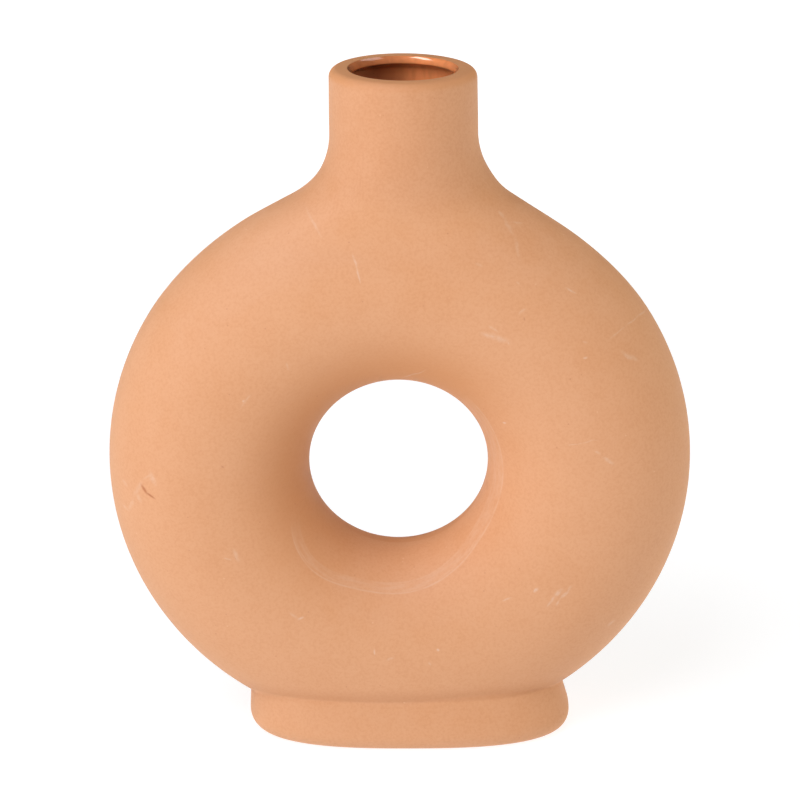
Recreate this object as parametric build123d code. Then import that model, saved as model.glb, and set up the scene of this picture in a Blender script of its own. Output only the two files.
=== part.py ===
from build123d import *
from math import cos, sin, pi, radians, sqrt
import os

# Ring, millimetres
ring_radius = 100.0           # outside radius of the ring, seen from the front
tube_half_height = 34.6       # half the tube's thickness, towards the ring's centre
tube_half_depth = 29.5        # half the tube's thickness, front to back
ring_sink = 1.6               # how far the full ring would reach below the table
wall = 4.0                    # clay wall of ring, shoulder and neck

# Neck and mouth, millimetres
rim_over_ring = 37.5          # rim above the top of the full ring
neck_radius = 24.4            # outside radius of the straight neck
neck_offset = 2.7             # the handmade neck sits a little to the right
offset_height = 25.0          # height above the joint over which that offset grows
joint_depth = 20.0            # joint of ring and neck, below the top of the full ring
shoulder_fillet = 25.7        # radius between the sloping shoulder and the neck
mouth_radius = 18.2           # clear radius inside the glazed lip
lip_depth = 2.8               # height of the straight band inside the lip
lip_underside = 3.4           # height over which the lip runs back into the neck wall
rim_round = 1.7               # rounding of the rim's outer edge
mouth_round = 0.9             # rounding of the rim's inner edge
lap = 8.0                     # how far a neck form runs below the joint before it is trimmed

# Foot and base, millimetres
foot_half_width = 56.7        # widest half-width of the foot, just above its rounded edge
foot_half_depth = 29.4        # widest half-depth of the foot
foot_offset = 2.4             # the handmade foot sits a little to the right
foot_form_height = 30.0       # height of the foot's form before the ring is cut out of it
foot_round = 5.5              # rounding of the foot's lower edge
plate_half_width = 40.0
plate_half_depth = 20.0
plate_thickness = 4.0
plate_recess = 2.0            # underside of the base plate above the table

# Glaze, millimetres
glaze = 0.4                   # thickness of the glaze inside
glaze_step = 0.05             # the coat is this much thinner on each face in the neck
glaze_lap = 1.5               # how far the neck's coat runs down inside the ring's coat

# Shape
half_turn = 180.0                 # degrees
full_turn = 360.0                 # degrees
shoulder_angle = radians(28.6)    # slope of the shoulder beside the neck
foot_yaw = radians(-1.2)          # the foot is turned a little against the ring
foot_flare_share = 0.17           # how much each side of the foot widens towards the table
foot_lean_share = -0.12           # how much the foot's centre moves left with height
foot_exponent = 2.7               # plan of the foot, from oval (2) towards a rounded box
plate_exponent = 2.2
outline_points = 40               # points that carry a closed outline
form_levels = 28                  # levels that carry the neck's form

# Heights and places that follow from these
ring_centre_height = ring_radius - ring_sink
vase_height = ring_centre_height + ring_radius + rim_over_ring
joint_rise = ring_radius - joint_depth
floor_height = plate_recess + plate_thickness
fillet_x = neck_radius + shoulder_fillet
fillet_rise = (ring_radius + shoulder_fillet - fillet_x * sin(shoulder_angle)) / cos(shoulder_angle)


# Outline and height helpers
def smooth(share):
    share = min(max(share, 0.0), 1.0)
    return share * share * (3.0 - 2.0 * share)


def closed_outline(points):
    return Face(Wire([Edge.make_spline(points, periodic=True)]))


def oval_outline(half_width, half_depth, exponent, centre, yaw, height):
    points = []
    for step in range(outline_points):
        turn = 2.0 * pi * step / outline_points
        across, along = abs(cos(turn)), abs(sin(turn))
        reach = ((across / half_width) ** exponent + (along / half_depth) ** exponent) ** (-1.0 / exponent)
        x, y = reach * cos(turn), reach * sin(turn)
        points.append((centre + x * cos(yaw) - y * sin(yaw), x * sin(yaw) + y * cos(yaw), height))
    return closed_outline(points)


# Outline of the ring's top and the neck at one height. The inset is zero for the
# outside, the wall for the inside and wall plus glaze for the glazed inside.
def half_width(rise, inset):
    radius = ring_radius - inset
    fillet_radius = shoulder_fillet + inset
    if rise <= radius * cos(shoulder_angle):
        return sqrt(radius ** 2 - rise ** 2)
    if rise <= fillet_rise - fillet_radius * cos(shoulder_angle):
        return (radius - rise * cos(shoulder_angle)) / sin(shoulder_angle)
    if rise <= fillet_rise:
        return fillet_x - sqrt(fillet_radius ** 2 - (fillet_rise - rise) ** 2)
    return neck_radius - inset


def tube_depth(distance, inset):
    across = (distance - (ring_radius - tube_half_height)) / (tube_half_height - inset)
    return (tube_half_depth - inset) * sqrt(max(1.0 - across ** 2, 0.0))


def half_depth(rise, inset):
    if rise <= joint_rise:
        return tube_depth(rise, inset)
    start = tube_depth(joint_rise, inset)
    across = (joint_rise - (ring_radius - tube_half_height)) / (tube_half_height - inset)
    normal_y = (tube_half_height - inset) * sqrt(1.0 - across ** 2)
    normal_z = (tube_half_depth - inset) * across
    length = sqrt(normal_y ** 2 + normal_z ** 2)
    radius = (start - (neck_radius - inset)) / (1.0 - normal_y / length)
    centre_rise = joint_rise + radius * normal_z / length
    if rise <= centre_rise:
        return neck_radius - inset + radius - sqrt(radius ** 2 - (centre_rise - rise) ** 2)
    return neck_radius - inset


def neck_outline(rise, inset, taper):
    ring_rise = min(rise, (ring_radius - inset) * cos(shoulder_angle))
    ring_x = sqrt((ring_radius - inset) ** 2 - ring_rise ** 2)
    share = smooth((rise - joint_rise) / (fillet_rise - joint_rise))
    shift = neck_offset * smooth((rise - joint_rise) / offset_height)
    width, depth = half_width(rise, inset) - taper, half_depth(rise, inset) - taper
    points = []
    for step in range(outline_points):
        turn = 2.0 * pi * step / outline_points
        distance = sqrt((ring_x * cos(turn)) ** 2 + ring_rise ** 2)
        ring_share = tube_depth(distance, inset) / tube_depth(ring_rise, inset)
        side = ((1.0 - share) * ring_share + share * abs(sin(turn))) * (1.0 if sin(turn) > 0.0 else -1.0)
        points.append((shift + width * cos(turn), depth * side, ring_centre_height + rise))
    return closed_outline(points)


def neck_form(inset, top_rise, top_taper):
    bottom_rise = joint_rise - lap
    underside_rise = top_rise - lip_underside
    sections = []
    for level in range(form_levels + 1):
        rise = bottom_rise + (top_rise - bottom_rise) * level / form_levels
        taper = top_taper * smooth((rise - underside_rise) / lip_underside)
        sections.append(neck_outline(rise, inset, taper))
    return loft(sections)


def above(form, height):
    return split(form, Plane((0, 0, height)), keep=Keep.TOP)


def below_joint(form):
    return split(form, Plane((0, 0, ring_centre_height + joint_rise)), keep=Keep.BOTTOM)


# Ring, whose section starts its outline on the side of the hole
def tube(inset):
    section = Plane.XY.offset(ring_centre_height) * Pos(ring_radius - tube_half_height, 0) * Ellipse(
        tube_half_height - inset, tube_half_depth - inset, rotation=half_turn)
    return revolve(section, Axis((0, 0, ring_centre_height), (0, 1, 0)), full_turn)


def ring_half(keep):
    return split(above(below_joint(tube(0.0) - tube(wall)), floor_height), Plane.XZ, keep=keep)


# Hollow of the neck, from below the joint up through the mouth
def neck_hollow(inset, top):
    rim_rise = vase_height - ring_centre_height
    taper = neck_radius - wall - mouth_radius + glaze
    bore = neck_form(inset, rim_rise - lip_depth, taper)
    lip_height = top - vase_height + lip_depth + lip_underside
    lip_radius = mouth_radius - glaze_step + glaze + wall - inset
    return bore + Pos(neck_offset, 0, top - lip_height / 2) * Cylinder(lip_radius, lip_height)


# Neck
def neck():
    outside = neck_form(0.0, vase_height - ring_centre_height, 0.0)
    outside = fillet(outside.faces().sort_by(Axis.Z)[-1].edges(), rim_round)
    hollow = outside - neck_hollow(wall, vase_height + lip_depth)
    mouth_edge = hollow.faces().sort_by(Axis.Z)[-1].edges().sort_by(SortBy.LENGTH)[0]
    return above(fillet(mouth_edge, mouth_round), ring_centre_height + joint_rise)


# Foot and base plate
def foot_outline(height):
    grown = foot_flare_share * (foot_round - height)
    centre = foot_offset + foot_lean_share * (height - foot_round)
    half_across, half_along = foot_half_width + grown, foot_half_depth + grown
    return oval_outline(half_across, half_along, foot_exponent, centre, foot_yaw, height)


def plate_outline(height):
    return oval_outline(plate_half_width, plate_half_depth, plate_exponent, 0.0, 0.0, height)


def foot():
    form = loft([foot_outline(0.0), foot_outline(foot_form_height)], ruled=True)
    form = fillet(form.faces().sort_by(Axis.Z)[0].edges(), foot_round)
    pocket = extrude(plate_outline(0.0), floor_height)
    return form - tube(0.0) - pocket


def base_plate():
    return extrude(plate_outline(plate_recess), plate_thickness)


# Glaze, which ends where the rounding of the mouth begins
def glaze_lining():
    glaze_top = vase_height - mouth_round
    ring_film = above(below_joint(tube(wall)), floor_height)
    ring_film -= above(below_joint(tube(wall + glaze)), floor_height + glaze)
    neck_film = neck_hollow(wall + glaze_step, glaze_top) - neck_hollow(wall + glaze - glaze_step, glaze_top)
    return ring_film + above(neck_film, ring_centre_height + joint_rise - glaze_lap)


if __name__ == "__main__":
    os.makedirs("parts", exist_ok=True)
    pieces = {
        "ring_front": ring_half(Keep.TOP),
        "ring_back": ring_half(Keep.BOTTOM),
        "neck": neck(),
        "foot": foot(),
        "base_plate": base_plate(),
        "glaze_lining": glaze_lining(),
    }
    for node, piece in pieces.items():
        export_step(piece, f"parts/{node}.step")
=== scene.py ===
from math import atan, atan2, cos, pi, radians, sin, sqrt

import bmesh
import bpy
import numpy as np
from mathutils import Matrix, Vector


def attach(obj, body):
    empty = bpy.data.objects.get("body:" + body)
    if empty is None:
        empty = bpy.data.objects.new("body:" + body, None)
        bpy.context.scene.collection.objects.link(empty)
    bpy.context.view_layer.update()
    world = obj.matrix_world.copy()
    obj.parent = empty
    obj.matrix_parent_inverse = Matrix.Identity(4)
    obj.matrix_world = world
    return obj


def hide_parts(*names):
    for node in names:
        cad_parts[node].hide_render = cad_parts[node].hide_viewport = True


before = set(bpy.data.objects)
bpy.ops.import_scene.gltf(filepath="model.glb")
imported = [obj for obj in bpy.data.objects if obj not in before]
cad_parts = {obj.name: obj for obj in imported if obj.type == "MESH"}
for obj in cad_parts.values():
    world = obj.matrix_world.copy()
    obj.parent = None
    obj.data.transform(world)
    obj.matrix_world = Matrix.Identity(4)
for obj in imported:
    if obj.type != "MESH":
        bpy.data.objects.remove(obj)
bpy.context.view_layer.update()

mm = 0.001

# Ring, as in the frame
ring_radius = 100.0 * mm
tube_half_height = 34.6 * mm
tube_half_depth = 29.5 * mm
ring_centre_height = 98.4 * mm
hole_shift = Vector((-0.42, 0.0, -0.3)) * mm    # the hole isn't quite in the middle
hole_shift_reach = 17.0 * mm
wall = 4.0 * mm
glaze = 0.4 * mm
glaze_gap = 0.05 * mm             # air between the glaze coat and the clay behind it

# Neck and mouth
vase_height = 235.9 * mm
rim_drop = 0.46 * mm              # the rim was cut a little lower at the front right
rim_drop_turn = radians(-40.0)
neck_radius = 24.4 * mm
neck_swell = 0.2 * mm             # the handmade neck is this much wider at its root
neck_offset = 2.7 * mm
offset_start = 84.0 * mm          # that offset grows between these two heights above the centre
offset_end = 103.0 * mm
joint_rise = 80.0 * mm            # height above the ring's centre where the neck form begins
shoulder_fillet = 25.7 * mm
left_dip = 0.64 * mm              # shallow hollows where neck and ring were joined
right_dip = 1.2 * mm
dip_rise = 82.5 * mm
dip_below = 29.5 * mm
dip_above = 13.0 * mm
rim_round = 2.9 * mm
mouth_radius = 17.05 * mm         # narrowest place of the lip, which bulges into the mouth
mouth_round = 0.45 * mm           # rounding of the clay where the glaze begins
lip_round = 2.45 * mm             # rounding of the glazed lip
lip_tilt = radians(60.0)          # how far the lip faces up where the glaze begins
lip_edge_round = 0.35 * mm        # rounding of the lip's lower edge
lip_underside = 2.3 * mm

# Foot and base
foot_half_width = 56.7 * mm
foot_half_depth = 29.4 * mm
foot_offset = 2.4 * mm
foot_round = 5.5 * mm
crease_side = 1.0 * mm            # softness of the crease between ring and foot, at the ends
crease_front = 1.5 * mm           # and in the middle of the front and back
crease_groove = 0.35 * mm         # depth of the tool mark along that crease
crease_groove_width = 0.9 * mm
crease_press = 0.6 * mm           # the foot was pressed in along that joint, at the front and back
crease_press_start = 8.0 * mm
crease_press_end = 20.0 * mm
plate_half_width = 40.0 * mm
plate_half_depth = 20.0 * mm
plate_thickness = 4.0 * mm
plate_recess = 2.0 * mm
plate_round = 0.8 * mm
plate_gap = 0.05 * mm
plate_hollow = 0.3 * mm
floor_height = plate_recess + plate_thickness

# Shape
shoulder_angle = radians(28.6)
foot_yaw = radians(-1.2)
foot_flare_share = 0.17
foot_lean_share = -0.12
foot_exponent = 2.7
plate_exponent = 2.2

# Mesh
lower_cut = -50.0 * mm            # the ring's grid lies between these two heights
upper_cut = 52.0 * mm
row_spacing = 1.0 * mm
inner_row_spacing = 2.0 * mm
row_points = 288
outer_grid = (480, 160)           # points round the ring and round its tube
inner_grid = (240, 80)
arc_rows = 8
halvings = 44
sharp_angle = radians(50.0)

# Camera, fitted to the outline in the photograph
camera_target = Vector((0.34, 0.0, 120.08)) * mm
camera_distance = 874.45 * mm
camera_azimuth = radians(0.159)
camera_elevation = radians(19.54)
camera_roll = radians(-0.743)
camera_lens = 114.94              # millimetres, on a sensor 36 wide
clip_share = 0.01                 # nearest distance that is rendered, as a share of the camera's

# Room and floor
room_horizon = 0.02
room_zenith = 0.01
zenith_share = 0.9                # share of the way up where the room gets as bright as overhead
floor_half = 6.0                  # metres
floor_roughness = 0.9
floor_tone = 0.3                  # the floor is lit mostly by its own glow, so that shadows stay faint
floor_glow_near = 0.84
floor_glow_far = 1.0              # far behind the vase, where the lights reach less
glow_start = 0.35                 # metres from the middle of the floor
glow_end = 1.0
white = (1.0, 1.0, 1.0, 1.0)

# Studio lights, which aren't seen in reflections, and cards, which are seen only there
light_distance = 1.4              # metres, from the middle of the ring
plain_light = (1.0, 1.0, 1.0)
cool_light = (0.95, 1.0, 1.15)
warm_light = (1.03, 0.99, 0.80)

# Azimuth and elevation in degrees, width and height in metres, power in watts, tint
studio_lights = {
    "key": (-35.0, 50.0, 1.0, 0.7, 10.3, cool_light),
    "upper": (-40.0, 65.0, 0.9, 0.5, 3.6, cool_light),
    "low": (-50.0, 12.0, 0.9, 0.7, 8.4, plain_light),
    "fill": (25.0, 35.0, 0.9, 0.7, 2.9, warm_light),
    "side": (100.0, 8.0, 1.4, 0.5, 9.4, warm_light),
    "back": (190.0, 25.0, 2.4, 1.2, 4.0, plain_light),
}
cards = {
    "card_left": (-68.0, 64.0, 0.45, 0.8, 6.6, plain_light),
    "card_right": (110.0, 58.0, 1.0, 0.5, 2.2, plain_light),
}

fillet_x = neck_radius + shoulder_fillet
fillet_rise = (ring_radius + shoulder_fillet - fillet_x * sin(shoulder_angle)) / cos(shoulder_angle)
turns = np.linspace(0.0, 2.0 * pi, row_points, endpoint=False)


# Outline of the ring's top and the neck at one height
def smooth(share):
    share = np.clip(share, 0.0, 1.0)
    return share * share * (3.0 - 2.0 * share)


def tube_depth(distance, inset):
    across = (distance - (ring_radius - tube_half_height)) / (tube_half_height - inset)
    return (tube_half_depth - inset) * np.sqrt(np.clip(1.0 - across ** 2, 0.0, None))


def half_width(rise, inset):
    radius = ring_radius - inset
    fillet_radius = shoulder_fillet + inset
    if rise <= radius * cos(shoulder_angle):
        return sqrt(radius ** 2 - rise ** 2)
    if rise <= fillet_rise - fillet_radius * cos(shoulder_angle):
        return (radius - rise * cos(shoulder_angle)) / sin(shoulder_angle)
    if rise <= fillet_rise:
        return fillet_x - sqrt(fillet_radius ** 2 - (fillet_rise - rise) ** 2)
    return neck_radius - inset


def half_depth(rise, inset):
    if rise <= joint_rise:
        return float(tube_depth(rise, inset))
    start = float(tube_depth(joint_rise, inset))
    across = (joint_rise - (ring_radius - tube_half_height)) / (tube_half_height - inset)
    normal_y = (tube_half_height - inset) * sqrt(1.0 - across ** 2)
    normal_z = (tube_half_depth - inset) * across
    length = sqrt(normal_y ** 2 + normal_z ** 2)
    radius = (start - (neck_radius - inset)) / (1.0 - normal_y / length)
    centre_rise = joint_rise + radius * normal_z / length
    if rise <= centre_rise:
        return neck_radius - inset + radius - sqrt(radius ** 2 - (centre_rise - rise) ** 2)
    return neck_radius - inset


def dip_at(rise):
    reach = dip_below if rise < dip_rise else dip_above
    away = min(abs(rise - dip_rise) / reach, 1.0)
    return (1.0 + cos(pi * away)) / 2.0


# The upper part of the neck leans, so that its rim isn't quite level
def rim_lean(rise):
    top_rise = vase_height - ring_centre_height
    return rim_drop * float(smooth((rise - fillet_rise) / (top_rise - rim_round - fillet_rise)))


def upper_row(rise, inset):
    ring_rise = min(rise, (ring_radius - inset) * cos(shoulder_angle))
    ring_x = sqrt((ring_radius - inset) ** 2 - ring_rise ** 2)
    share = float(smooth((rise - joint_rise) / (fillet_rise - joint_rise)))
    top_rise = vase_height - ring_centre_height
    swell = neck_swell * share * (1.0 - float(smooth((rise - fillet_rise) / (top_rise - fillet_rise))))
    width, depth = half_width(rise, inset) + swell, half_depth(rise, inset) + swell
    distance = np.sqrt((ring_x * np.cos(turns)) ** 2 + ring_rise ** 2)
    ring_share = tube_depth(distance, inset) / tube_depth(ring_rise, inset)
    side = ((1.0 - share) * ring_share + share * np.abs(np.sin(turns))) * np.sign(np.sin(turns))
    dip = np.where(np.cos(turns) > 0.0, right_dip, left_dip) * dip_at(rise)
    shift = neck_offset * float(smooth((rise - offset_start) / (offset_end - offset_start)))
    x = shift + width * np.cos(turns) - dip * np.abs(np.cos(turns)) ** 2 * np.cos(turns)
    height = ring_centre_height + rise - rim_lean(rise) * (1.0 + np.cos(turns - rim_drop_turn))
    return np.stack([x, depth * side, height], axis=1)


def round_row(radius, height):
    x = neck_offset + radius * np.cos(turns)
    tip = 1.0 + radius / neck_radius * np.cos(turns - rim_drop_turn)
    leaning = height - rim_lean(height - ring_centre_height) * tip
    return np.stack([x, radius * np.sin(turns), leaning], axis=1)


# Outline of the ring's bottom and the foot at one height, out from one middle line
def reach(inside):
    near = np.zeros(row_points)
    far = np.full(row_points, 2.0 * ring_radius)
    for _ in range(halvings):
        middle = (near + far) / 2.0
        hit = inside(foot_offset + middle * np.cos(turns), middle * np.sin(turns))
        near = np.where(hit, middle, near)
        far = np.where(hit, far, middle)
    return near


def ring_reach(height, inset):
    def inside(x, y):
        distance = np.sqrt(x ** 2 + (height - ring_centre_height) ** 2)
        across = (distance - (ring_radius - tube_half_height)) / (tube_half_height - inset)
        return across ** 2 + (y / (tube_half_depth - inset)) ** 2 < 1.0
    return reach(inside)


def oval_reach(half_across, half_along, exponent, centre, yaw):
    def inside(x, y):
        across = np.abs((x - centre) * cos(yaw) + y * sin(yaw)) / half_across
        along = np.abs(y * cos(yaw) - (x - centre) * sin(yaw)) / half_along
        return across ** exponent + along ** exponent < 1.0
    return reach(inside)


def foot_reach(height, grown):
    centre = foot_offset + foot_lean_share * (height - foot_round)
    return oval_reach(foot_half_width + grown, foot_half_depth + grown, foot_exponent, centre, foot_yaw)


def plate_reach(grown):
    return oval_reach(plate_half_width + grown, plate_half_depth + grown, plate_exponent, 0.0, 0.0)


def reach_row(reached, height):
    x = foot_offset + reached * np.cos(turns)
    return np.stack([x, reached * np.sin(turns), np.full(row_points, height)], axis=1)


def crease(ring, foot, level):
    facing = np.abs(np.sin(turns)) ** 2
    softness = crease_side + (crease_front - crease_side) * facing
    pressed = float(smooth((level - crease_press_start) / (crease_press_end - crease_press_start)))
    foot = foot - crease_press * facing * pressed
    share = np.clip((ring - foot) / softness / 2.0 + 1.0 / 2.0, 0.0, 1.0)
    joined = foot + (ring - foot) * share + softness * share * (1.0 - share)
    return joined - crease_groove * np.exp(-((ring - foot) / crease_groove_width) ** 2)


# Mesh building: closed rows of points, joined one to the next
def add_row(mesh, points):
    return [mesh.verts.new(point) for point in points]


def join_rows(mesh, rows):
    for low, high in zip(rows, rows[1:]):
        for step in range(row_points):
            after = (step + 1) % row_points
            mesh.faces.new((low[step], low[after], high[after], high[step]))


def turn_of(vertex):
    return np.arctan2(vertex.co.y, vertex.co.x - foot_offset)


def zip_rows(mesh, low, high):
    low, high = sorted(low, key=turn_of), sorted(high, key=turn_of)
    low_turns = [turn_of(vertex) for vertex in low] + [turn_of(low[0]) + 2.0 * pi]
    high_turns = [turn_of(vertex) for vertex in high] + [turn_of(high[0]) + 2.0 * pi]
    i, j = 0, 0
    while i < len(low) or j < len(high):
        here, there = low[i % len(low)], high[j % len(high)]
        if j == len(high) or (i < len(low) and low_turns[i + 1] <= high_turns[j + 1]):
            i += 1
            mesh.faces.new((here, low[i % len(low)], there))
        else:
            j += 1
            mesh.faces.new((here, high[j % len(high)], there))


def close_row(mesh, row):
    middle = mesh.verts.new(sum((vertex.co for vertex in row), Vector()) / len(row))
    for step in range(len(row)):
        mesh.faces.new((row[step], row[(step + 1) % len(row)], middle))


# The ring between the two cuts: returns its lower and upper edge
def ring_skin(mesh, inset, counts):
    around, across = counts
    part = bmesh.new()
    grid = []
    for turn in np.linspace(0.0, 2.0 * pi, around, endpoint=False):
        row = []
        for tilt in np.linspace(0.0, 2.0 * pi, across, endpoint=False):
            distance = ring_radius - tube_half_height + (tube_half_height - inset) * cos(tilt)
            depth = (tube_half_depth - inset) * sin(tilt)
            row.append(part.verts.new(
                (distance * cos(turn), depth, ring_centre_height + distance * sin(turn))))
        grid.append(row)
    for i in range(around):
        for j in range(across):
            here, beside = grid[i], grid[(i + 1) % around]
            after = (j + 1) % across
            part.faces.new((here[j], here[after], beside[after], beside[j]))
    for rise, side in ((lower_cut, -1.0), (upper_cut, 1.0)):
        geometry = part.verts[:] + part.edges[:] + part.faces[:]
        bmesh.ops.bisect_plane(
            part, geom=geometry, dist=glaze_gap, plane_co=(0.0, 0.0, ring_centre_height + rise),
            plane_no=(0.0, 0.0, side), clear_outer=True)
    copies = {vertex: mesh.verts.new(vertex.co) for vertex in part.verts}
    for face in part.faces:
        mesh.faces.new([copies[vertex] for vertex in face.verts])
    edges = {vertex for edge in part.edges if edge.is_boundary for vertex in edge.verts}
    low = [copies[vertex] for vertex in edges if vertex.co.z < ring_centre_height]
    high = [copies[vertex] for vertex in edges if vertex.co.z > ring_centre_height]
    for vertex in low + high:
        distance = sqrt(vertex.co.x ** 2 + (vertex.co.z - ring_centre_height) ** 2)
        across_share = (distance - (ring_radius - tube_half_height)) / (tube_half_height - inset)
        scale = sqrt(across_share ** 2 + (vertex.co.y / (tube_half_depth - inset)) ** 2)
        new_distance = ring_radius - tube_half_height + (tube_half_height - inset) * across_share / scale
        vertex.co.x *= new_distance / distance
        vertex.co.y /= scale
    for vertex in copies.values():
        distance = sqrt(vertex.co.x ** 2 + (vertex.co.z - ring_centre_height) ** 2)
        past_edge = distance - (ring_radius - 2.0 * tube_half_height)
        vertex.co += hole_shift * (1.0 - float(smooth(past_edge / hole_shift_reach)))
    part.free()
    return low, high


def heights_between(start, end, spacing):
    count = max(2, round(abs(end - start) / spacing))
    return np.linspace(start, end, count + 1)


# Lip: the clay rounds over towards the mouth, then the glazed lip bulges in and turns back under
lip_centre = mouth_radius + lip_round
top_centre = lip_centre - (lip_round - mouth_round) * cos(lip_tilt)
lip_level = vase_height - mouth_round - (lip_round - mouth_round) * sin(lip_tilt)


def arc_of_rows(centre, level, radius, start, end, count):
    rows = []
    for tilt in np.linspace(start, end, count + 1):
        rows.append(round_row(centre - radius * cos(tilt), level + radius * sin(tilt)))
    return rows


def clay_edge_rows():
    return arc_of_rows(top_centre, vase_height - mouth_round, mouth_round, pi / 2.0, lip_tilt, arc_rows // 2)


def lip_rows(offset):
    start = lip_tilt - (glaze_gap / lip_round if offset < glaze else 0.0)
    rows = arc_of_rows(lip_centre, lip_level, lip_round - offset, start, 0.0, arc_rows)
    edge_centre = mouth_radius + lip_edge_round + offset
    rows += arc_of_rows(edge_centre, lip_level, lip_edge_round, 0.0, -pi / 4.0, arc_rows // 2)[1:]
    bore = neck_radius - wall - glaze + offset
    edge_radius = edge_centre - lip_edge_round * cos(pi / 4.0)
    edge_level = lip_level - lip_edge_round * sin(pi / 4.0)
    for share in np.linspace(0.0, 1.0, arc_rows + 1)[1:]:
        radius = edge_radius + (bore - edge_radius) * sin(share * pi / 2.0)
        rows.append(round_row(radius, edge_level - lip_underside * share))
    return rows, edge_level - lip_underside


def inner_rows(inset, offset):
    rows, bore_height = lip_rows(offset)
    start = bore_height - ring_centre_height - inner_row_spacing
    for rise in heights_between(start, upper_cut + row_spacing, inner_row_spacing):
        rows.append(upper_row(rise, inset))
    return rows


def inner_floor_rows(inset, height):
    rows = []
    for level in heights_between(ring_centre_height + lower_cut - row_spacing, height, inner_row_spacing):
        rows.append(reach_row(ring_reach(level, inset), level))
    return rows


# Outside of the vase
def neck_outside_rows():
    rows = []
    top_rise = vase_height - ring_centre_height
    for rise in heights_between(upper_cut + row_spacing, top_rise - rim_round, row_spacing):
        rows.append(upper_row(rise, 0.0))
    for turn in np.linspace(0.0, pi / 2.0, arc_rows + 1)[1:]:
        radius = neck_radius - rim_round * (1.0 - cos(turn))
        rows.append(round_row(radius, vase_height - rim_round * (1.0 - sin(turn))))
    for radius in np.linspace(neck_radius - rim_round, top_centre, arc_rows // 2)[1:-1]:
        rows.append(round_row(radius, vase_height))
    return rows + clay_edge_rows()


def foot_outside_rows():
    rows = []
    slant = atan(foot_flare_share)
    side_end = foot_round * (1.0 + sin(slant))
    for level in heights_between(ring_centre_height + lower_cut - row_spacing, side_end, row_spacing / 2.0):
        foot = foot_reach(level, foot_flare_share * (foot_round - level))
        rows.append(reach_row(crease(ring_reach(level, 0.0), foot, level), level))
    middle = foot_round * sqrt(1.0 + foot_flare_share ** 2)
    for turn in np.linspace(slant, -pi / 2.0, arc_rows + arc_rows // 2)[1:]:
        level = foot_round * (1.0 + sin(turn))
        rows.append(reach_row(foot_reach(level, foot_round * cos(turn) - middle), level))
    return rows


def pocket_rows():
    rows = []
    for turn in np.linspace(0.0, pi / 2.0, arc_rows // 2 + 1):
        grown = plate_round * (1.0 - sin(turn))
        rows.append(reach_row(plate_reach(grown), plate_round * (1.0 - cos(turn))))
    rows.append(reach_row(plate_reach(0.0), plate_recess))
    rows.append(reach_row(plate_reach(0.0), floor_height))
    return rows


def make_piece(name, mesh, material, nodes):
    bmesh.ops.recalc_face_normals(mesh, faces=mesh.faces[:])
    data = bpy.data.meshes.new(name)
    mesh.to_mesh(data)
    mesh.free()
    data.shade_smooth()
    data.set_sharp_from_angle(angle=sharp_angle)
    data.materials.append(material)
    piece = bpy.data.objects.new(name, data)
    bpy.context.scene.collection.objects.link(piece)
    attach(piece, "root")
    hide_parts(*nodes)
    return piece


def make_body(material):
    mesh = bmesh.new()
    outer_low, outer_high = ring_skin(mesh, 0.0, outer_grid)
    inner_low, inner_high = ring_skin(mesh, wall, inner_grid)
    top = [add_row(mesh, row) for row in neck_outside_rows() + inner_rows(wall, glaze)]
    join_rows(mesh, top)
    zip_rows(mesh, outer_high, top[0])
    zip_rows(mesh, inner_high, top[-1])
    bottom = foot_outside_rows() + pocket_rows() + inner_floor_rows(wall, floor_height)[::-1]
    bottom = [add_row(mesh, row) for row in bottom]
    join_rows(mesh, bottom)
    zip_rows(mesh, outer_low, bottom[0])
    zip_rows(mesh, inner_low, bottom[-1])
    return make_piece("vase_body", mesh, material, ["ring_front", "ring_back", "neck", "foot"])


def make_coat(material):
    mesh = bmesh.new()
    shown, hidden = wall + glaze, wall + glaze_gap
    shown_low, shown_high = ring_skin(mesh, shown, inner_grid)
    hidden_low, hidden_high = ring_skin(mesh, hidden, inner_grid)
    top = inner_rows(shown, 0.0)[::-1] + inner_rows(hidden, glaze - glaze_gap)
    top = [add_row(mesh, row) for row in top]
    join_rows(mesh, top)
    zip_rows(mesh, shown_high, top[0])
    zip_rows(mesh, hidden_high, top[-1])
    bottoms = ((shown, shown_low, floor_height + glaze), (hidden, hidden_low, floor_height + glaze_gap))
    for inset, edge, height in bottoms:
        rows = [add_row(mesh, row) for row in inner_floor_rows(inset, height)]
        join_rows(mesh, rows)
        zip_rows(mesh, edge, rows[0])
        close_row(mesh, rows[-1])
    return make_piece("glaze_coat", mesh, material, ["glaze_lining"])


def make_plate(material):
    mesh = bmesh.new()
    rows = [reach_row(plate_reach(-plate_gap), floor_height - glaze_gap)]
    for turn in np.linspace(0.0, pi / 2.0, arc_rows // 2 + 1):
        grown = -plate_gap - plate_round * (1.0 - cos(turn))
        rows.append(reach_row(plate_reach(grown), plate_recess + plate_round * (1.0 - sin(turn))))
    edge = plate_reach(-plate_gap - plate_round)
    for share in np.linspace(1.0, 0.0, arc_rows + 1)[1:-1]:
        rows.append(reach_row(edge * share, plate_recess + plate_hollow * float(smooth(2.0 - 2.0 * share))))
    rows = [add_row(mesh, row) for row in rows]
    join_rows(mesh, rows)
    close_row(mesh, rows[0])
    close_row(mesh, rows[-1])
    return make_piece("base_plate_clay", mesh, material, ["base_plate"])


# Materials, built from nodes
def add_node(tree, kind, settings=None, **inputs):
    made = tree.nodes.new(kind)
    for name, value in (settings or {}).items():
        setattr(made, name, value)
    for name, value in inputs.items():
        key = int(name[1:]) if name[1:].isdigit() else name.replace("_", " ")
        if isinstance(value, bpy.types.NodeSocket):
            tree.links.new(value, made.inputs[key])
        else:
            made.inputs[key].default_value = value
    return made


def arithmetic(tree, operation, first, second=0.0, third=0.0):
    made = add_node(tree, "ShaderNodeMath", {"operation": operation}, _0=first, _1=second, _2=third)
    return made.outputs[0]


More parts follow.
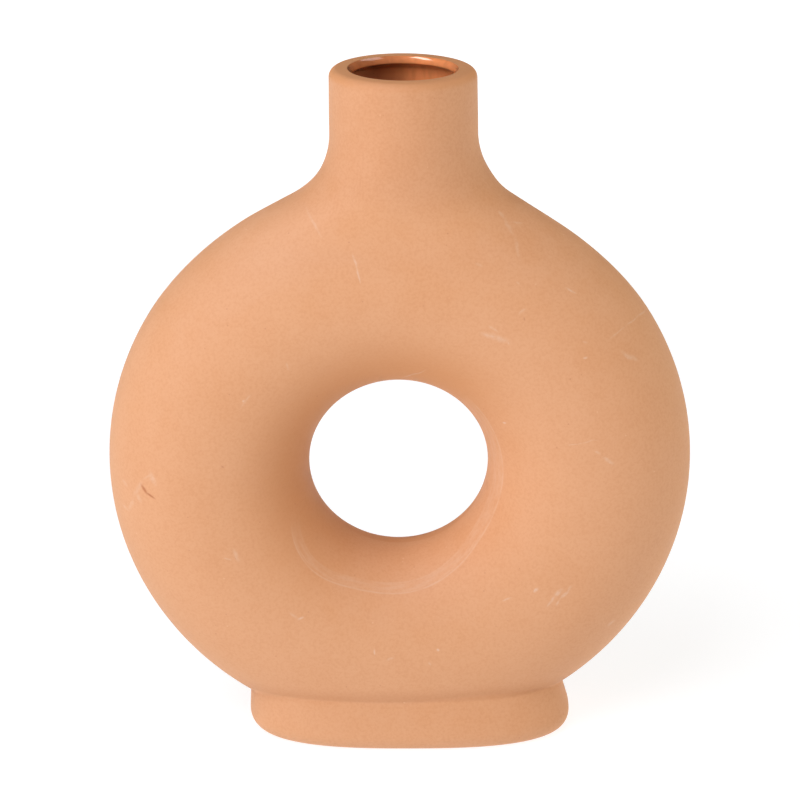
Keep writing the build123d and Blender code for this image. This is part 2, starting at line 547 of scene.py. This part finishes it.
def vector_arithmetic(tree, operation, first, second):
    made = add_node(tree, "ShaderNodeVectorMath", {"operation": operation}, _0=first, _1=second)
    return made.outputs["Vector"]


def noise(tree, position, scale, detail, roughness):
    made = add_node(tree, "ShaderNodeTexNoise", Vector=position, Scale=scale, Detail=detail,
                    Roughness=roughness)
    return made.outputs["Fac"]


# Smooth step from one pair of values to another
def stretch(tree, value, low, high, to_low=0.0, to_high=1.0):
    made = add_node(tree, "ShaderNodeMapRange", {"interpolation_type": "SMOOTHSTEP"}, Value=value,
                    From_Min=low, From_Max=high, To_Min=to_low, To_Max=to_high)
    return made.outputs["Result"]


def mix_colour(tree, share, first, second):
    made = tree.nodes.new("ShaderNodeMix")
    made.data_type = "RGBA"
    for socket, value in ((made.inputs[0], share), (made.inputs[6], first), (made.inputs[7], second)):
        if isinstance(value, bpy.types.NodeSocket):
            tree.links.new(value, socket)
        else:
            socket.default_value = value
    return made.outputs[2]


def new_material(name):
    material = bpy.data.materials.new(name)
    material.use_nodes = True
    tree = material.node_tree
    tree.nodes.clear()
    shader = tree.nodes.new("ShaderNodeBsdfPrincipled")
    output = tree.nodes.new("ShaderNodeOutputMaterial")
    tree.links.new(shader.outputs["BSDF"], output.inputs["Surface"])
    return material, tree, shader


# Clay
clay_colour = (0.640, 0.302, 0.136, 1.0)
clay_pale = (0.75, 0.45, 0.285, 1.0)      # lighter grains
clay_dust = (0.69, 0.455, 0.325, 1.0)     # scuffs and the tool band
clay_warm_and_shade = (0.595, 0.250, 0.088, 1.0)    # cloudy patches, painted shade in the hole, and the rim's tone, partly painted shade
clay_deep_and_shade = (0.49, 0.203, 0.080, 1.0)     # darker grains, the neck, and painted shade in the crease above the foot
clay_scratch = (0.45, 0.15, 0.05, 1.0)
clay_roughness = (0.60, 0.72)
clay_specular = 0.8
clay_diffuse_roughness = 0.3
relief_share = 0.5                        # the grain's relief against that of a scratch
bump_depth = 0.1 * mm
clay_bump_strength = 0.3

# Noise: scale per metre, detail, roughness
cloud_noise = (30.0, 3.0, 0.5)
blotch_noise = (130.0, 2.0, 0.5)
grain_noise = (1100.0, 2.0, 0.6)
broken_noise = (700.0, 2.0, 0.7)
brush_noise = (1300.0, 2.0, 0.6)
worn_noise = (260.0, 1.0)                 # scale and detail
worn_push = 1.4 * mm

# How strongly a noise mixes in a tone: two values of the noise, then the share at each
cloud_tone_shares = (0.40, 0.66, 0.0, 0.22)
blotch_tone_shares = (0.35, 0.65, 0.0, 0.09)
pale_grain_shares = (0.30, 0.70, 0.0, 0.14)
deep_grain_shares = (0.52, 0.30, 0.0, 0.10)
broken_shares = (0.3, 0.6, 0.45, 1.0)
rough_start = 0.3                         # values of the noise between which the roughness changes
rough_end = 0.7
noise_middle = (0.5, 0.5, 0.5)

# Specks: spacing, then size, kept and strength as shares
dark_specks = (4.0 * mm, 0.09, 0.22, 0.4)
pale_specks = (5.0 * mm, 0.08, 0.16, 0.45)

# The neck is a little deeper in colour than the ring, and the rim is painted a warmer tone: partly the
# clay's own, partly painted shade on its top, which faces up
neck_tone_start = 188.0 * mm
neck_tone_end = 203.0 * mm
neck_tone_share = 0.35
lip_tone_start = vase_height - 4.2 * mm
lip_tone_end = vase_height - 0.8 * mm
lip_tone_and_shade_share = 0.75

# Painted shade: the clay is painted warmer and darker round the hole and on its inner wall, most at its
# upper left, and darker in the crease above the foot
hole_shade_start = 60.0 * mm               # distance from the ring's centre
hole_shade_end = 38.0 * mm
hole_shade_share = 0.55
hole_shade_side = 30.0 * mm
joint_shade_low = 18.0 * mm                # heights
joint_shade_full = 19.2 * mm
joint_shade_high = 25.5 * mm
joint_shade_share = 0.35

# Marks on the clay, as shares of the ring's radius from its centre:
# start across, start up, end across, end up, half-width, strength
pale_mark_shares = (
    (-0.301, 0.945, -0.240, 0.855, 0.007, 0.35),
    (-0.145, 0.817, -0.129, 0.765, 0.005, 0.6),
    (-0.132, 0.776, -0.118, 0.715, 0.005, 0.7),
    (0.335, 0.921, 0.352, 0.899, 0.006, 0.4),
    (0.350, 0.902, 0.386, 0.845, 0.008, 0.28),
    (0.384, 0.850, 0.403, 0.772, 0.009, 0.28),
    (0.375, 0.886, 0.418, 0.875, 0.004, 0.3),
    (0.251, 0.779, 0.280, 0.767, 0.006, 0.2),
    (0.551, 0.680, 0.589, 0.659, 0.004, 0.6),
    (0.268, 0.550, 0.374, 0.516, 0.015, 0.35),
    (0.269, 0.551, 0.335, 0.528, 0.007, 0.5),
    (0.300, 0.543, 0.371, 0.519, 0.006, 0.4),
    (0.297, 0.576, 0.327, 0.550, 0.006, 0.4),
    (0.363, 0.518, 0.364, 0.508, 0.004, 0.4),
    (0.389, 0.714, 0.397, 0.707, 0.004, 0.3),
    (0.608, 0.510, 0.622, 0.503, 0.005, 0.3),
    (0.396, 0.612, 0.418, 0.627, 0.006, 0.4),
    (0.839, 0.544, 0.798, 0.549, 0.004, 0.4),
    (0.806, 0.548, 0.755, 0.536, 0.004, 0.5),
    (0.760, 0.538, 0.687, 0.498, 0.004, 0.35),
    (0.734, 0.462, 0.796, 0.418, 0.010, 0.4),
    (0.610, 0.456, 0.622, 0.456, 0.006, 0.7),
    (0.350, 0.203, 0.359, 0.205, 0.005, 0.9),
    (0.556, 0.152, 0.612, 0.162, 0.004, 0.4),
    (0.600, 0.159, 0.668, 0.176, 0.004, 0.3),
    (0.652, 0.130, 0.668, 0.120, 0.006, 0.4),
    (0.676, 0.110, 0.715, 0.085, 0.009, 0.5),
    (0.000, 0.334, 0.104, 0.404, 0.004, 0.6),
    (0.341, -0.416, 0.376, -0.402, 0.005, 0.65),
    (0.452, -0.378, 0.461, -0.368, 0.008, 0.95),
    (0.493, -0.434, 0.522, -0.391, 0.007, 0.6),
    (0.518, -0.395, 0.545, -0.367, 0.010, 0.55),
    (0.524, -0.426, 0.537, -0.406, 0.005, 0.5),
    (0.540, -0.403, 0.566, -0.373, 0.009, 0.7),
    (0.562, -0.379, 0.578, -0.351, 0.007, 0.35),
    (0.708, -0.543, 0.732, -0.524, 0.008, 0.35),
    (-0.383, -0.439, -0.348, -0.469, 0.007, 0.35),
    (-0.351, -0.470, -0.336, -0.460, 0.006, 0.75),
    (-0.598, -0.237, -0.574, -0.246, 0.005, 0.5),
    (-0.562, -0.207, -0.547, -0.253, 0.010, 0.4),
    (-0.860, 0.030, -0.836, 0.055, 0.006, 0.3),
    (-0.838, 0.060, -0.823, 0.018, 0.013, 0.45),
    (-0.904, -0.048, -0.861, 0.031, 0.010, 0.3),
    (-0.948, -0.094, -0.921, -0.107, 0.008, 0.3),
    (-0.921, -0.107, -0.900, -0.050, 0.009, 0.3),
    (-0.940, 0.000, -0.926, -0.014, 0.009, 0.3),
    (-0.888, -0.033, -0.874, -0.057, 0.010, 0.3),
    (-0.487, 0.350, -0.523, 0.296, 0.006, 0.3),
    (-0.511, 0.322, -0.511, 0.323, 0.005, 0.9),
    (-0.370, 0.456, -0.360, 0.426, 0.005, 0.3),
    (-0.097, -0.584, -0.097, -0.603, 0.005, 0.8),
    (0.090, -0.634, 0.098, -0.640, 0.005, 0.4),
    (0.121, -0.585, 0.122, -0.592, 0.006, 0.9),
    (-0.052, -0.627, -0.030, -0.617, 0.007, 0.35),
)
dark_mark_shares = (
    (-0.871, 0.008, -0.850, -0.024, 0.008, 0.9),
    (-0.858, -0.015, -0.822, -0.035, 0.006, 0.9),
    (0.300, -0.062, 0.300, -0.096, 0.004, 0.2),
    (0.413, 0.600, 0.415, 0.590, 0.004, 0.45),
    (-0.588, 0.090, -0.592, 0.092, 0.005, 0.5),
)

# Pale band that a tool left round the hole: angle, then distance from the centre
band_turn_shares = (0.0, 0.123, 0.25, 0.386, 0.477, 0.577, 0.75, 1.0)
band_radius_shares = (0.38, 0.434, 0.419, 0.405, 0.382, 0.357, 0.350, 0.363)
band_start = radians(-165.0)
band_end = radians(55.0)
band_fade_in = radians(22.0)
band_fade_out = radians(14.0)
band_width = 2.7 * mm
band_line = 0.4 * mm
band_soft = 0.5 * mm
band_fill_shares = (0.3, 0.7, 0.02, 0.25)
band_streak_shares = (0.3, 0.6, 0.4, 1.0)
outer_line_share = 0.42
inner_line_share = 0.22
streak_run = 4.0 * mm                     # how far a turn of one radian moves along the streaks
mark_core_share = 0.2                     # part of a mark's half-width that has its full strength


# Place on the ring as seen from the front, or turned over for the back, from the ring's centre
def marked_place(tree, position):
    parts = add_node(tree, "ShaderNodeSeparateXYZ", Vector=position).outputs
    side = arithmetic(tree, "SIGN", arithmetic(tree, "MULTIPLY", parts["Y"], -1.0))
    across = arithmetic(tree, "MULTIPLY", parts["X"], side)
    rise = arithmetic(tree, "SUBTRACT", parts["Z"], ring_centre_height)
    up = arithmetic(tree, "MULTIPLY", rise, side)
    return across, up, add_node(tree, "ShaderNodeCombineXYZ", X=across, Z=up).outputs["Vector"]


def wobbled(tree, place):
    scale, detail = worn_noise
    warp = add_node(tree, "ShaderNodeTexNoise", Vector=place, Scale=scale, Detail=detail).outputs["Color"]
    centred = vector_arithmetic(tree, "SUBTRACT", warp, noise_middle)
    push = vector_arithmetic(tree, "MULTIPLY", centred, (worn_push, 0.0, worn_push))
    return vector_arithmetic(tree, "ADD", place, push)


# One mark is a soft-edged ellipse, long and thin
def mark(tree, place, shares):
    start_x, start_z, end_x, end_z, half_width_share, strength = shares
    start = Vector((start_x, 0.0, start_z)) * ring_radius
    end = Vector((end_x, 0.0, end_z)) * ring_radius
    along = end - start
    mapped = add_node(tree, "ShaderNodeMapping", {"vector_type": "TEXTURE"}, Vector=place)
    mapped.inputs["Location"].default_value = (start + end) / 2.0
    mapped.inputs["Rotation"].default_value = (0.0, -atan2(along.z, along.x), 0.0)
    mapped.inputs["Scale"].default_value = (
        along.length / 2.0 + half_width_share * ring_radius, 1.0, half_width_share * ring_radius)
    reached = add_node(tree, "ShaderNodeVectorMath", {"operation": "LENGTH"}, _0=mapped.outputs["Vector"])
    return stretch(tree, reached.outputs["Value"], 1.0, mark_core_share, 0.0, strength)


def marks(tree, place, table):
    total = mark(tree, place, table[0])
    for shares in table[1:]:
        total = arithmetic(tree, "MAXIMUM", total, mark(tree, place, shares))
    return total


def tool_band(tree, across, up, distance):
    turn = arithmetic(tree, "ARCTAN2", up, across)
    share = add_node(tree, "ShaderNodeMapRange", Value=turn, From_Min=band_start, From_Max=band_end)
    curve = add_node(tree, "ShaderNodeFloatCurve", Value=share.outputs["Result"])
    line = curve.mapping.curves[0]
    line.points[0].location = (band_turn_shares[0], band_radius_shares[0])
    line.points[1].location = (band_turn_shares[-1], band_radius_shares[-1])
    for turn_share, radius_share in list(zip(band_turn_shares, band_radius_shares))[1:-1]:
        line.points.new(turn_share, radius_share)
    curve.mapping.update()
    edge = arithmetic(tree, "MULTIPLY", curve.outputs["Value"], ring_radius)
    inside = arithmetic(tree, "SUBTRACT", edge, distance)
    along = arithmetic(tree, "MULTIPLY", turn, streak_run)
    brushed = add_node(tree, "ShaderNodeCombineXYZ", X=inside, Y=along).outputs["Vector"]
    streak = noise(tree, brushed, *brush_noise)
    filled = arithmetic(tree, "MULTIPLY", stretch(tree, inside, -band_soft, band_soft),
                        stretch(tree, inside, band_width + band_soft, band_width - band_soft))
    filled = arithmetic(tree, "MULTIPLY", filled, stretch(tree, streak, *band_fill_shares))
    outer_line = stretch(tree, arithmetic(tree, "ABSOLUTE", inside), band_line, 0.0, 0.0, outer_line_share)
    from_inner = arithmetic(tree, "ABSOLUTE", arithmetic(tree, "SUBTRACT", inside, band_width))
    inner_line = stretch(tree, from_inner, band_line, 0.0, 0.0, inner_line_share)
    lines = arithmetic(tree, "MAXIMUM", outer_line, inner_line)
    lines = arithmetic(tree, "MULTIPLY", lines, stretch(tree, streak, *band_streak_shares))
    faded = arithmetic(tree, "MULTIPLY", stretch(tree, turn, band_start, band_start + band_fade_in),
                       stretch(tree, turn, band_end, band_end - band_fade_out))
    return arithmetic(tree, "MULTIPLY", arithmetic(tree, "MAXIMUM", filled, lines), faded)


# Small round specks in random cells
def specks(tree, position, spacing, size_share, kept_share, strength):
    cells = add_node(tree, "ShaderNodeTexVoronoi", Vector=position, Scale=1.0 / spacing)
    picked = add_node(tree, "ShaderNodeSeparateColor", Color=cells.outputs["Color"]).outputs["Red"]
    kept = arithmetic(tree, "LESS_THAN", picked, kept_share)
    dot = stretch(tree, cells.outputs["Distance"], size_share, size_share / 2.0, 0.0, strength)
    return arithmetic(tree, "MULTIPLY", dot, kept)


def make_terracotta():
    material, tree, shader = new_material("terracotta_clay")
    position = tree.nodes.new("ShaderNodeTexCoord").outputs["Object"]
    across, up, place = marked_place(tree, position)
    cloud = noise(tree, position, *cloud_noise)
    blotch = noise(tree, position, *blotch_noise)
    grain = noise(tree, position, *grain_noise)
    broken = noise(tree, position, *broken_noise)
    colour = mix_colour(tree, stretch(tree, cloud, *cloud_tone_shares), clay_colour, clay_warm_and_shade)
    height = add_node(tree, "ShaderNodeSeparateXYZ", Vector=position).outputs["Z"]
    neck = stretch(tree, height, neck_tone_start, neck_tone_end, 0.0, neck_tone_share)
    colour = mix_colour(tree, neck, colour, clay_deep_and_shade)
    colour = mix_colour(tree, stretch(tree, blotch, *blotch_tone_shares), colour, clay_pale)
    colour = mix_colour(tree, stretch(tree, grain, *pale_grain_shares), colour, clay_pale)
    colour = mix_colour(tree, stretch(tree, grain, *deep_grain_shares), colour, clay_deep_and_shade)
    # partly painted shade: the rim's top is painted warmer and darker
    lip = stretch(tree, height, lip_tone_start, lip_tone_end, 0.0, lip_tone_and_shade_share)
    colour = mix_colour(tree, lip, colour, clay_warm_and_shade)
    from_centre = add_node(tree, "ShaderNodeVectorMath", {"operation": "LENGTH"}, _0=place).outputs["Value"]
    # painted shade round the hole and on its inner wall, most at its upper left
    up_left = arithmetic(tree, "SUBTRACT", up, across)
    painted_hole_shade = arithmetic(tree, "MULTIPLY", stretch(tree, up_left, -hole_shade_side, hole_shade_side),
                        stretch(tree, from_centre, hole_shade_start, hole_shade_end, 0.0, hole_shade_share))
    colour = mix_colour(tree, painted_hole_shade, colour, clay_warm_and_shade)
    # painted shade in the crease above the foot
    joint = arithmetic(tree, "MULTIPLY", stretch(tree, height, joint_shade_low, joint_shade_full),
                       stretch(tree, height, joint_shade_high, joint_shade_full, 0.0, joint_shade_share))
    colour = mix_colour(tree, joint, colour, clay_deep_and_shade)
    colour = mix_colour(tree, specks(tree, position, *dark_specks), colour, clay_scratch)
    colour = mix_colour(tree, specks(tree, position, *pale_specks), colour, clay_pale)
    pale = arithmetic(tree, "MULTIPLY", marks(tree, wobbled(tree, place), pale_mark_shares),
                      stretch(tree, broken, *broken_shares))
    band = tool_band(tree, across, up, from_centre)
    colour = mix_colour(tree, arithmetic(tree, "MAXIMUM", pale, band), colour, clay_dust)
    scratched = marks(tree, place, dark_mark_shares)
    colour = mix_colour(tree, scratched, colour, clay_scratch)
    tree.links.new(colour, shader.inputs["Base Color"])
    rough = stretch(tree, blotch, rough_start, rough_end, *clay_roughness)
    tree.links.new(rough, shader.inputs["Roughness"])
    shader.inputs["Specular IOR Level"].default_value = clay_specular
    shader.inputs["Diffuse Roughness"].default_value = clay_diffuse_roughness
    relief = arithmetic(tree, "SUBTRACT", arithmetic(tree, "MULTIPLY", grain, relief_share), scratched)
    bump = add_node(tree, "ShaderNodeBump", Strength=clay_bump_strength, Distance=bump_depth, Height=relief)
    tree.links.new(bump.outputs["Normal"], shader.inputs["Normal"])
    return material


# Glaze: thick and thin places over the clay, with a few pinholes, and painted shade at the left inside the
# mouth
glaze_colour = (0.98, 0.325, 0.113, 1.0)
glaze_thick_and_shade = (0.26, 0.082, 0.035, 1.0)
glaze_pinhole = (0.16, 0.05, 0.02, 1.0)
glaze_shade_start = 12.0 * mm                 # painted shade in the glaze, darkest at the left inside the mouth
glaze_shade_full = -10.0 * mm
glaze_shade_share = 0.9
glaze_lip_level = vase_height - 3.0 * mm   # the painted shade is half as strong on the lip as on the wall below
glaze_wall_level = vase_height - 4.5 * mm
glaze_lip_shade_share = 0.5
flow_noise = (90.0, 3.0, 0.5)
flow_shares = (0.35, 0.70, 0.0, 0.35)
run_noise = (420.0, 2.0, 0.5)
run_shares = (0.45, 0.75, 0.0, 0.2)
run_length = (1.0, 1.0, 0.25)              # the glaze ran down, so its streaks are drawn out upright
pinholes = (2.5 * mm, 0.12, 0.25, 0.7)
glaze_roughness = (0.05, 0.10)
glaze_ior = 1.7
glaze_coat_roughness = 0.03
glaze_bump_strength = 0.1


def make_glaze():
    material, tree, shader = new_material("brown_glaze")
    position = tree.nodes.new("ShaderNodeTexCoord").outputs["Object"]
    flow = noise(tree, position, *flow_noise)
    run = add_node(tree, "ShaderNodeMapping", Vector=position, Scale=run_length).outputs["Vector"]
    streak = noise(tree, run, *run_noise)
    colour = mix_colour(tree, stretch(tree, flow, *flow_shares), glaze_colour, glaze_thick_and_shade)
    parts = add_node(tree, "ShaderNodeSeparateXYZ", Vector=position).outputs
    # painted shade: the glaze is painted darker at the left inside the mouth, more so below the lip
    side = stretch(tree, parts["X"], glaze_shade_start, glaze_shade_full, 0.0, glaze_shade_share)
    level = stretch(tree, parts["Z"], glaze_lip_level, glaze_wall_level, glaze_lip_shade_share, 1.0)
    colour = mix_colour(tree, arithmetic(tree, "MULTIPLY", side, level), colour, glaze_thick_and_shade)
    colour = mix_colour(tree, stretch(tree, streak, *run_shares), colour, glaze_thick_and_shade)
    colour = mix_colour(tree, specks(tree, position, *pinholes), colour, glaze_pinhole)
    tree.links.new(colour, shader.inputs["Base Color"])
    rough = stretch(tree, flow, rough_start, rough_end, *glaze_roughness)
    tree.links.new(rough, shader.inputs["Roughness"])
    shader.inputs["IOR"].default_value = glaze_ior
    shader.inputs["Coat Weight"].default_value = 1.0
    shader.inputs["Coat Roughness"].default_value = glaze_coat_roughness
    bump = add_node(tree, "ShaderNodeBump", Strength=glaze_bump_strength, Distance=bump_depth,
                    Height=streak)
    tree.links.new(bump.outputs["Normal"], shader.inputs["Normal"])
    return material


def make_floor():
    material, tree, shader = new_material("pale_floor")
    shader.inputs["Base Color"].default_value = (floor_tone, floor_tone, floor_tone, 1.0)
    shader.inputs["Roughness"].default_value = floor_roughness
    shader.inputs["Emission Color"].default_value = white
    position = tree.nodes.new("ShaderNodeTexCoord").outputs["Object"]
    distance = add_node(tree, "ShaderNodeVectorMath", {"operation": "LENGTH"}, _0=position).outputs["Value"]
    glow = stretch(tree, distance, glow_start, glow_end, floor_glow_near, floor_glow_far)
    tree.links.new(glow, shader.inputs["Emission Strength"])
    data = bpy.data.meshes.new("floor")
    corners = [(floor_half * x, floor_half * y, 0.0) for x, y in ((-1, -1), (1, -1), (1, 1), (-1, 1))]
    data.from_pydata(corners, [], [(0, 1, 2, 3)])
    data.materials.append(material)
    floor = bpy.data.objects.new("floor", data)
    bpy.context.scene.collection.objects.link(floor)


# From the vase, where azimuth zero is the front and a positive one turns to the right
def direction_to(azimuth, elevation):
    return Vector((sin(azimuth) * cos(elevation), -cos(azimuth) * cos(elevation), sin(elevation)))


def add_light(name, azimuth, elevation, width, height, power, tint, mirrored):
    data = bpy.data.lights.new(name, "AREA")
    data.shape = "RECTANGLE"
    data.size, data.size_y, data.energy = width, height, power
    data.color = tint
    light = bpy.data.objects.new(name, data)
    bpy.context.scene.collection.objects.link(light)
    away = direction_to(radians(azimuth), radians(elevation))
    light.location = Vector((0.0, 0.0, ring_centre_height)) + away * light_distance
    light.visible_glossy = mirrored
    light.visible_diffuse = not mirrored
    light.rotation_mode = "QUATERNION"
    light.rotation_quaternion = (-away).to_track_quat("-Z", "Y")


# The room is brighter round the horizon than overhead
def make_world():
    world = bpy.data.worlds.new("studio")
    world.use_nodes = True
    tree = world.node_tree
    direction = tree.nodes.new("ShaderNodeTexCoord").outputs["Generated"]
    height = add_node(tree, "ShaderNodeSeparateXYZ", Vector=direction).outputs["Z"]
    light = stretch(tree, height, 0.0, zenith_share, room_horizon, room_zenith)
    tree.links.new(light, tree.nodes["Background"].inputs["Strength"])
    tree.nodes["Background"].inputs["Color"].default_value = white
    bpy.context.scene.world = world


def make_camera():
    camera = bpy.data.objects.new("camera", bpy.data.cameras.new("camera"))
    bpy.context.scene.collection.objects.link(camera)
    away = direction_to(camera_azimuth, camera_elevation)
    turn = Matrix.Rotation(camera_azimuth, 4, "Z") @ Matrix.Rotation(pi / 2.0 - camera_elevation, 4, "X")
    place = Matrix.Translation(camera_target + away * camera_distance)
    camera.matrix_world = place @ turn @ Matrix.Rotation(camera_roll, 4, "Z")
    camera.data.lens = camera_lens
    camera.data.clip_start = camera_distance * clip_share
    bpy.context.scene.camera = camera


terracotta = make_terracotta()
make_body(terracotta)
make_plate(terracotta)
make_coat(make_glaze())
make_floor()
for name, values in studio_lights.items():
    add_light(name, *values, mirrored=False)
for name, values in cards.items():
    add_light(name, *values, mirrored=True)
make_world()
make_camera()
bpy.context.scene.view_settings.view_transform = "Standard"
